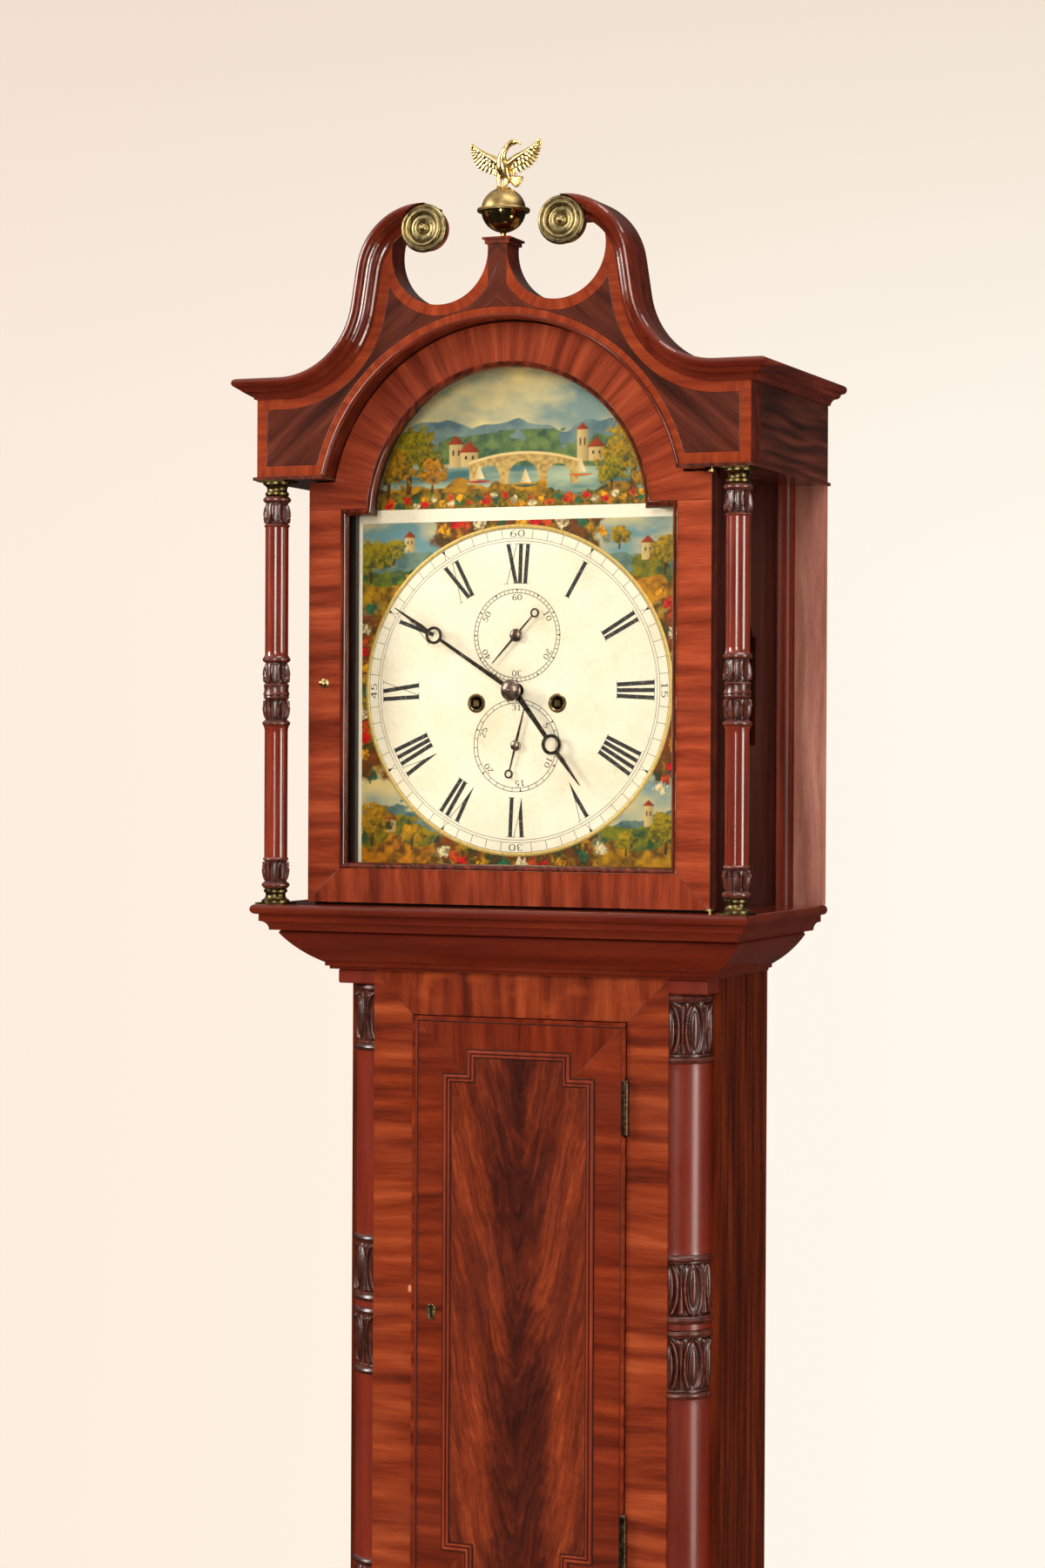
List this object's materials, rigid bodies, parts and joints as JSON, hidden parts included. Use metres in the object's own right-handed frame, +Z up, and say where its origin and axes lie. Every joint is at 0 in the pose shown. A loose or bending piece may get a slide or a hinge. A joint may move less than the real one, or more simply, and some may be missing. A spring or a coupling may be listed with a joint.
{
  "type": "longcase clock",
  "caption": "Floor-standing longcase clock: mahogany case, sliding hood with swan-neck pediment and glazed arched door, painted dial, geared weight-driven movement.",
  "frame": {"origin": "on the floor, at the middle of the overall footprint", "axes": "+Z up, -Y towards the viewer of the dial, +X to the viewer's right"},
  "size_m": [0.538, 0.2586, 2.0181],
  "materials": {
    "mahogany": "polished French-polished mahogany",
    "dark_mahogany": "dark polished mahogany",
    "pine": "plain planed softwood",
    "glass": "clear polished window glass",
    "brass": "satin brass",
    "aged_brass": "aged, darkened brass",
    "polished_brass": "satin and polished brass",
    "gilt": "bright gilt",
    "steel": "bright filed steel",
    "dark_steel": "polished dark steel",
    "iron": "black cast iron",
    "dial_paint": "cream japanned paint with a fine age crackle",
    "gut": "natural gut line"
  },
  "bodies": {
    "case": {"plinth": "mahogany", "base_box": "mahogany", "base_moulding": "mahogany", "backboard": "pine", "trunk_sides": "mahogany", "trunk_front_frame": "mahogany", "trunk_columns": "dark_mahogany", "throat_moulding": "mahogany", "seatboard": "pine", "trunk_hinge_leaves": "aged_brass", "dial_plate": "dial_paint", "movement_frame": "brass", "bell": "aged_brass", "upper_lines": "gut", "gut_line_going": "gut", "gut_line_strike": "gut"},
    "hood": {"hood_base": "mahogany", "hood_sides": "mahogany", "side_glasses": "glass", "hood_frieze": "mahogany", "pediment_board": "mahogany", "swan_necks": "mahogany", "rosettes": "aged_brass", "finial_ball": "polished_brass", "finial_eagle": "gilt", "hood_columns": "dark_mahogany", "column_caps": "aged_brass", "hood_mask": "dark_mahogany"},
    "hood_door": {"hood_door_frame": "mahogany", "hood_door_glass": "glass", "hood_door_fittings": "aged_brass"},
    "trunk_door": {"trunk_door_board": "mahogany", "trunk_door_moulding": "dark_mahogany", "trunk_door_hinges": "aged_brass", "trunk_door_lock": "aged_brass"},
    "lock_bolt": {"lock_bolt": "steel"},
    "centre_arbor": {"centre_wheel": "brass", "minute_hand": "dark_steel"},
    "hour_wheel": {"hour_hand": "dark_steel"},
    "minute_wheel": {"minute_wheel": "brass"},
    "third_wheel": {"third_wheel": "brass"},
    "escape_wheel": {"escape_wheel": "brass", "seconds_hand": "dark_steel"},
    "calendar_wheel": {"calendar_hand": "dark_steel"},
    "anchor": {"anchor": "steel"},
    "pendulum": {"pendulum_rod": "steel", "pendulum_bob": "polished_brass"},
    "great_wheel_going": {"great_wheel_going": "brass"},
    "great_wheel_strike": {"great_wheel_strike": "brass"},
    "barrel_going": {"barrel_going": "brass"},
    "barrel_strike": {"barrel_strike": "brass"},
    "weight_going": {"weight_going": "iron"},
    "weight_strike": {"weight_strike": "iron"},
    "pulley_going": {"pulley_going": "brass"},
    "pulley_strike": {"pulley_strike": "brass"},
    "pin_wheel": {"pin_wheel": "brass"},
    "locking_wheel": {"locking_wheel": "brass"},
    "warning_wheel": {"warning_wheel": "brass"},
    "fly": {"fly": "brass"},
    "hammer": {"hammer": "steel"}
  },
  "joints": [
    {"name": "hood_slide", "type": "slide", "parent": "case", "child": "hood", "axis": [0, -1, 0], "range_m": [0, 0.26]},
    {"name": "hood_door_hinge", "type": "hinge", "parent": "hood", "child": "hood_door", "pos_m": [0.209, -0.0973, 1.5], "axis": [0, 0, 1], "range_deg": [0, 100]},
    {"name": "trunk_door_hinge", "type": "hinge", "parent": "case", "child": "trunk_door", "pos_m": [0.1103, -0.0524, 0.902], "axis": [0, 0, 1], "range_deg": [0, 100]},
    {"name": "lock_bolt_slide", "type": "slide", "parent": "trunk_door", "child": "lock_bolt", "axis": [-1, 0, 0], "range_m": [0, 0.007]},
    {"name": "hands_setting", "type": "hinge", "parent": "case", "child": "centre_arbor", "pos_m": [0, 0, 1.5], "axis": [0, 1, 0], "continuous": true},
    {"name": "hour_turn", "type": "hinge", "parent": "case", "child": "hour_wheel", "pos_m": [0, 0, 1.5], "axis": [0, 1, 0], "continuous": true},
    {"name": "minute_wheel_turn", "type": "hinge", "parent": "case", "child": "minute_wheel", "pos_m": [0.0135, 0, 1.47662], "axis": [0, 1, 0], "continuous": true},
    {"name": "third_wheel_turn", "type": "hinge", "parent": "case", "child": "third_wheel", "pos_m": [0.00692, 0, 1.52796], "axis": [0, 1, 0], "continuous": true},
    {"name": "escape_wheel_turn", "type": "hinge", "parent": "case", "child": "escape_wheel", "pos_m": [0, 0, 1.5525], "axis": [0, 1, 0], "continuous": true},
    {"name": "calendar_turn", "type": "hinge", "parent": "case", "child": "calendar_wheel", "pos_m": [0, 0, 1.4477], "axis": [0, 1, 0], "continuous": true},
    {"name": "great_wheel_going_turn", "type": "hinge", "parent": "case", "child": "great_wheel_going", "pos_m": [0.04165, 0, 1.488], "axis": [0, 1, 0], "continuous": true},
    {"name": "pendulum_swing", "type": "hinge", "parent": "case", "child": "pendulum", "pos_m": [0, 0.05, 1.5765], "axis": [0, 1, 0], "range_deg": [-3, 3]},
    {"name": "anchor_rock", "type": "hinge", "parent": "case", "child": "anchor", "pos_m": [0, 0, 1.5765], "axis": [0, 1, 0], "range_deg": [-3, 3]},
    {"name": "weight_going_fall", "type": "slide", "parent": "case", "child": "weight_going", "axis": [0, 0, -1], "range_m": [0, 0.95], "deforming": ["gut_line_going"]},
    {"name": "weight_strike_fall", "type": "slide", "parent": "case", "child": "weight_strike", "axis": [0, 0, -1], "range_m": [0, 0.95], "deforming": ["gut_line_strike"]},
    {"name": "barrel_going_wind", "type": "hinge", "parent": "case", "child": "barrel_going", "pos_m": [0.04165, 0, 1.488], "axis": [0, 1, 0], "range_deg": [-4360, 0]},
    {"name": "barrel_strike_wind", "type": "hinge", "parent": "case", "child": "barrel_strike", "pos_m": [-0.04165, 0, 1.488], "axis": [0, 1, 0], "range_deg": [-4360, 0]},
    {"name": "pulley_going_turn", "type": "hinge", "parent": "weight_going", "child": "pulley_going", "pos_m": [0.03865, -0.0013, 1.368], "axis": [0, 1, 0], "range_deg": [-2480, 0]},
    {"name": "pulley_strike_turn", "type": "hinge", "parent": "weight_strike", "child": "pulley_strike", "pos_m": [-0.04465, -0.0013, 1.368], "axis": [0, 1, 0], "range_deg": [-2480, 0]},
    {"name": "great_wheel_strike_turn", "type": "hinge", "parent": "case", "child": "great_wheel_strike", "pos_m": [-0.04165, 0, 1.488], "axis": [0, 1, 0], "continuous": true},
    {"name": "pin_wheel_turn", "type": "hinge", "parent": "case", "child": "pin_wheel", "pos_m": [-0.03764, 0, 1.52613], "axis": [0, 1, 0], "continuous": true},
    {"name": "locking_wheel_turn", "type": "hinge", "parent": "case", "child": "locking_wheel", "pos_m": [-0.02878, 0, 1.55049], "axis": [0, 1, 0], "continuous": true},
    {"name": "warning_wheel_turn", "type": "hinge", "parent": "case", "child": "warning_wheel", "pos_m": [-0.02696, 0, 1.57121], "axis": [0, 1, 0], "continuous": true},
    {"name": "fly_turn", "type": "hinge", "parent": "case", "child": "fly", "pos_m": [-0.03757, 0, 1.58385], "axis": [0, 1, 0], "continuous": true},
    {"name": "hammer_lift", "type": "hinge", "parent": "case", "child": "hammer", "pos_m": [-0.06, 0, 1.555], "axis": [0, 1, 0], "range_deg": [-18, 0], "stiffness_Nm_per_rad": 0.02}
  ],
  "couplings": [
    {"joint": "hour_turn", "follows": "hands_setting", "ratio": 0.083333},
    {"joint": "minute_wheel_turn", "follows": "hands_setting", "ratio": -1},
    {"joint": "third_wheel_turn", "follows": "hands_setting", "ratio": -8},
    {"joint": "escape_wheel_turn", "follows": "hands_setting", "ratio": 60},
    {"joint": "great_wheel_going_turn", "follows": "hands_setting", "ratio": -0.083333},
    {"joint": "anchor_rock", "follows": "pendulum_swing", "ratio": 1},
    {"joint": "barrel_going_wind", "follows": "weight_going_fall", "rad_per_m": -80},
    {"joint": "barrel_strike_wind", "follows": "weight_strike_fall", "rad_per_m": -80},
    {"joint": "pulley_going_turn", "follows": "weight_going_fall", "rad_per_m": -45.455},
    {"joint": "pulley_strike_turn", "follows": "weight_strike_fall", "rad_per_m": -45.455},
    {"joint": "fly_turn", "follows": "warning_wheel_turn", "ratio": -6.8571},
    {"joint": "locking_wheel_turn", "follows": "warning_wheel_turn", "ratio": -0.14286},
    {"joint": "pin_wheel_turn", "follows": "warning_wheel_turn", "ratio": 0.017857},
    {"joint": "great_wheel_strike_turn", "follows": "warning_wheel_turn", "ratio": -0.0017007}
  ]
}
